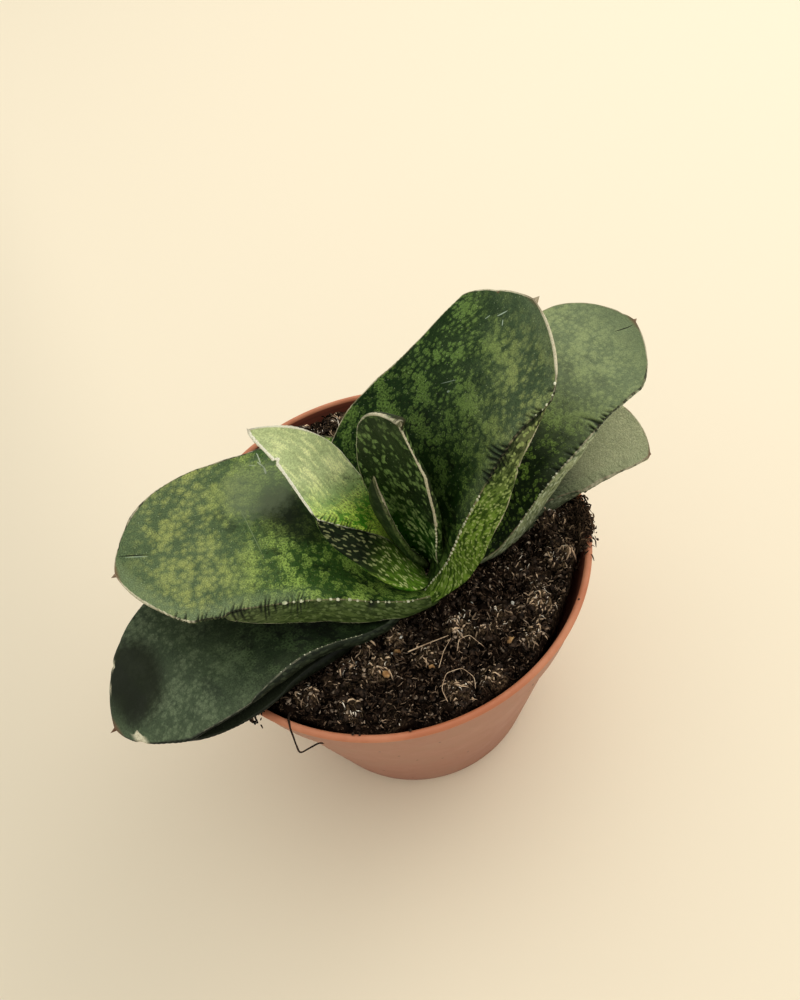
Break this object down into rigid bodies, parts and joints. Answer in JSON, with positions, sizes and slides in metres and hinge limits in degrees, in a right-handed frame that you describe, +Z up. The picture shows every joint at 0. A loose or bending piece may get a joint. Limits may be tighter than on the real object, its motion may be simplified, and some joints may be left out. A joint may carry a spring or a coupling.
{
  "type": "potted gasteria",
  "caption": "Young gasteria with two facing ranks of thick, spotted, tongue-shaped leaves, in a round nursery pot filled with peat.",
  "frame": {"origin": "centre of the pot's flat foot, on the surface that the pot stands on", "axes": "+Z up along the pot's axis; the two ranks of leaves point towards -X and +X; -Y is the side that the plant leans to"},
  "size_m": [0.1371, 0.105, 0.143],
  "materials": {
    "pot": "satin terracotta-coloured plastic",
    "soil": "loose dark peat with light fibres",
    "rootstock": "matte, fibrous",
    "leaf_dark": "waxy, faintly spotted",
    "leaf_spotted": "waxy, with clustered pale green spots",
    "leaf_pale": "matte, silvery green, finely wrinkled",
    "leaf_bright": "waxy, with long pale streaks"
  },
  "bodies": {
    "root": {"pot": "pot", "soil": "soil", "rootstock": "rootstock", "leaf_1_lower_left": "leaf_dark", "leaf_2_lower_right": "leaf_pale", "leaf_3_left": "leaf_dark", "leaf_4_right": "leaf_spotted", "leaf_5_left": "leaf_spotted", "leaf_6_right": "leaf_spotted", "leaf_7_inner_left": "leaf_bright", "leaf_8_inner_right": "leaf_dark", "leaf_9_youngest": "leaf_bright"}
  },
  "joints": []
}
